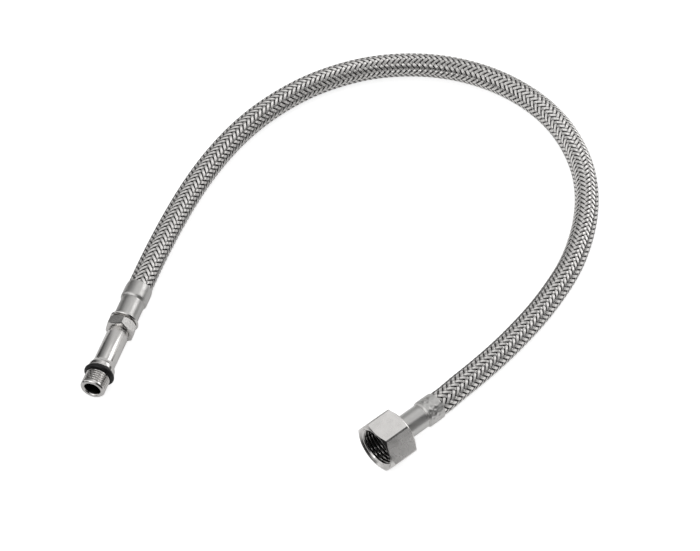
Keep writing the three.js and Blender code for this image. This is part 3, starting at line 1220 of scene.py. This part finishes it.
class TAPHOSE_OT_stage(bpy.types.Operator):
    """Lays the pale floor and sets the soft studio light"""

    bl_idname = "taphose.stage"
    bl_label = "Floor and light"

    def execute(self, context):
        bm = bmesh.new()
        bmesh.ops.create_grid(bm, x_segments=2, y_segments=2, size=3.0)
        floor = new_object("floor", bm)
        floor.location.z = -0.0002
        material = new_material("white_paper")
        tree = material.node_tree
        seen = put(tree, "ShaderNodeLightPath")
        paper = put(
            tree,
            "ShaderNodeBsdfPrincipled",
            {"Base Color": rgba(finishes(context).floor), "Roughness": 0.9},
        )
        glow = put(tree, "ShaderNodeEmission", {"Color": (1.0, 1.0, 1.0, 1.0), "Strength": 0.8})
        pale = put(tree, "ShaderNodeAddShader", {0: paper.outputs[0], 1: glow.outputs[0]})
        # The metal mirrors a grey table instead of the white floor, whose colour carries painted
        # shade and a painted glow
        where = put(tree, "ShaderNodeTexCoord")
        parts = put(tree, "ShaderNodeSeparateXYZ", {0: where.outputs["Object"]})
        # The room is dark beyond the table's near edge, which runs a little askew up to the nut
        # and steps forward beside it
        up_to = put(
            tree, "ShaderNodeMath", {0: parts.outputs[0], 1: TABLE_STEP_AT[1]}, operation="MINIMUM"
        )
        slant = put(
            tree,
            "ShaderNodeMath",
            {0: up_to.outputs[0], 1: TABLE_SLOPE, 2: parts.outputs[1]},
            operation="MULTIPLY_ADD",
        )
        forward = put(
            tree,
            "ShaderNodeMapRange",
            {
                "Value": parts.outputs[0],
                "From Min": TABLE_STEP_AT[0],
                "From Max": TABLE_STEP_AT[1],
                "To Min": 0.0,
                "To Max": TABLE_STEP,
            },
        )
        askew = put(
            tree, "ShaderNodeMath", {0: slant.outputs[0], 1: forward.outputs[0]}, operation="ADD"
        )
        edge = put(
            tree,
            "ShaderNodeMapRange",
            {
                "Value": askew.outputs[0],
                "From Min": TABLE_NEAR[0],
                "From Max": TABLE_NEAR[1],
                "To Min": 0.02,
                "To Max": 0.95,
            },
            interpolation_type="SMOOTHSTEP",
        )
        # The light on the table falls off a little towards the tail
        fall = put(
            tree,
            "ShaderNodeMapRange",
            {
                "Value": parts.outputs[0],
                "From Min": TABLE_DIM[0],
                "From Max": TABLE_DIM[1],
                "To Min": 0.78,
                "To Max": 1.0,
            },
            interpolation_type="SMOOTHSTEP",
        )
        near = put(
            tree, "ShaderNodeMath", {0: edge.outputs[0], 1: fall.outputs[0]}, operation="MULTIPLY"
        )
        # The room is dark beyond the table's left edge too
        inside = put(
            tree,
            "ShaderNodeMapRange",
            {
                "Value": parts.outputs[0],
                "From Min": TABLE_LEFT[0],
                "From Max": TABLE_LEFT[1],
                "To Min": 0.06,
                "To Max": 1.0,
            },
            interpolation_type="SMOOTHSTEP",
        )
        beyond = put(
            tree,
            "ShaderNodeMapRange",
            {"Value": parts.outputs[1], "From Min": TABLE_REAR[0], "From Max": TABLE_REAR[1]},
            interpolation_type="SMOOTHSTEP",
        )
        close = put(
            tree,
            "ShaderNodeMapRange",
            {"Value": parts.outputs[0], "From Min": TABLE_END[0], "From Max": TABLE_END[1]},
        )
        rear = put(
            tree,
            "ShaderNodeMath",
            {0: beyond.outputs[0], 1: close.outputs[0]},
            operation="MULTIPLY",
        )
        lit = put(
            tree, "ShaderNodeMath", {0: inside.outputs[0], 1: rear.outputs[0]}, operation="MAXIMUM"
        )
        top = put(
            tree, "ShaderNodeMath", {0: near.outputs[0], 1: lit.outputs[0]}, operation="MULTIPLY"
        )
        table = put(tree, "ShaderNodeBsdfDiffuse", {"Color": top.outputs[0]})
        # Painted light: the table glows a little by itself
        shine = put(tree, "ShaderNodeEmission", {"Color": top.outputs[0], "Strength": 0.2})
        grey = put(tree, "ShaderNodeAddShader", {0: table.outputs[0], 1: shine.outputs[0]})
        surface = put(
            tree,
            "ShaderNodeMixShader",
            {0: seen.outputs["Is Glossy Ray"], 1: pale.outputs[0], 2: grey.outputs[0]},
        )
        put(tree, "ShaderNodeOutputMaterial", {"Surface": surface.outputs[0]})
        floor.data.materials.append(material)
        world = bpy.data.worlds.new("studio")
        context.scene.world = world
        world.use_nodes = True
        tree = world.node_tree
        tree.nodes.clear()
        seen = put(tree, "ShaderNodeLightPath")
        # What the metal mirrors stands behind the hose, beside it and before it, high and low
        where = put(tree, "ShaderNodeTexCoord")
        parts = put(tree, "ShaderNodeSeparateXYZ", {0: where.outputs["Generated"]})
        across = put(
            tree,
            "ShaderNodeMapRange",
            {"Value": parts.outputs[0], "From Min": -1.0, "From Max": 1.0},
        )
        walls = []
        for steps in (WALL_BEHIND, WALL_BESIDE, WALL_BEFORE_HIGH, WALL_BEFORE_LOW):
            ramp = put(tree, "ShaderNodeValToRGB", {0: across.outputs[0]})
            stops = ramp.color_ramp.elements
            for place, _ in steps[1:-1]:
                stops.new((place + 1) / 2)
            for stop, (place, value) in zip(stops, steps):
                stop.position = (place + 1) / 2
                stop.color = (value, value, value, 1.0)
            walls.append(ramp.outputs[0])
        behind, beside, before_high, before_low = walls
        back, up = parts.outputs[1], parts.outputs[2]
        tent = faded(tree, back, 0.18, 0.42, beside, behind)
        # High up at the back the walls end, and the ceiling is evenly pale
        tent = faded(tree, back, 0.74, 0.86, tent, rgba([CEILING_GREY] * 3))
        front = faded(tree, up, 0.28, 0.38, before_low, before_high)
        room = faded(tree, back, -0.45, -0.15, front, tent)
        # The dark gap between the cards overhead, which the nut's chamfered edge mirrors
        toward = put(
            tree,
            "ShaderNodeVectorMath",
            {0: where.outputs["Generated"], 1: GAP_DIRECTION},
            operation="DOT_PRODUCT",
        )
        gap = put(
            tree,
            "ShaderNodeMapRange",
            {
                "Value": toward.outputs["Value"],
                "From Min": 0.986,
                "From Max": 0.994,
                "To Min": 1.0,
                "To Max": 0.02,
            },
            interpolation_type="SMOOTHSTEP",
        )
        soft = put(tree, "ShaderNodeBackground", {"Color": room, "Strength": gap.outputs[0]})
        white = put(tree, "ShaderNodeBackground", {"Color": (1.0, 1.0, 1.0, 1.0), "Strength": 1.0})
        mix = put(
            tree,
            "ShaderNodeMixShader",
            {0: seen.outputs["Is Camera Ray"], 1: soft.outputs[0], 2: white.outputs[0]},
        )
        put(tree, "ShaderNodeOutputWorld", {"Surface": mix.outputs[0]})
        context.scene.view_settings.view_transform = "Standard"
        for name, spot, aim, width, height, power in LIGHTS:
            data = bpy.data.lights.new(name, "AREA")
            data.shape = "RECTANGLE"
            data.size = width
            data.size_y = height
            data.energy = power
            lamp = bpy.data.objects.new(name, data)
            context.scene.collection.objects.link(lamp)
            lamp.location = spot
            lamp.rotation_euler = (Vector(aim) - Vector(spot)).to_track_quat("-Z", "Y").to_euler()
        return {"FINISHED"}


PIECES = (
    TAPHOSE_OT_camera,
    TAPHOSE_OT_tube,
    TAPHOSE_OT_braid,
    TAPHOSE_OT_ferrules,
    TAPHOSE_OT_tail,
    TAPHOSE_OT_seals,
    TAPHOSE_OT_nipple,
    TAPHOSE_OT_nut,
    TAPHOSE_OT_stage,
)


class TAPHOSE_PT_panel(bpy.types.Panel):
    """Sizes, colours and pieces of the flexible tap hose"""

    bl_idname = "TAPHOSE_PT_panel"
    bl_label = "Tap Hose"
    bl_space_type = "VIEW_3D"
    bl_region_type = "UI"
    bl_category = "Tap Hose"

    def draw(self, context):
        layout = self.layout
        for group in (sizes(context), finishes(context)):
            box = layout.box()
            for key in type(group).__annotations__:
                box.prop(group, key)
        for operator in PIECES:
            layout.operator(operator.bl_idname)


CLASSES = (TapHoseSizes, TapHoseFinishes, *PIECES, TAPHOSE_PT_panel)


def register():
    for cls in CLASSES:
        bpy.utils.register_class(cls)
    bpy.types.Scene.tap_hose_sizes = bpy.props.PointerProperty(type=TapHoseSizes)
    bpy.types.Scene.tap_hose_finishes = bpy.props.PointerProperty(type=TapHoseFinishes)


def unregister():
    del bpy.types.Scene.tap_hose_finishes
    del bpy.types.Scene.tap_hose_sizes
    for cls in reversed(CLASSES):
        bpy.utils.unregister_class(cls)


def main():
    register()
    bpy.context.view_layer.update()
    bpy.ops.taphose.camera()
    bpy.ops.taphose.tube()
    bpy.ops.taphose.braid()
    bpy.ops.taphose.ferrules()
    bpy.ops.taphose.tail()
    bpy.ops.taphose.seals()
    bpy.ops.taphose.nipple()
    bpy.ops.taphose.nut()
    bpy.ops.taphose.stage()


if __name__ == "__main__":
    main()
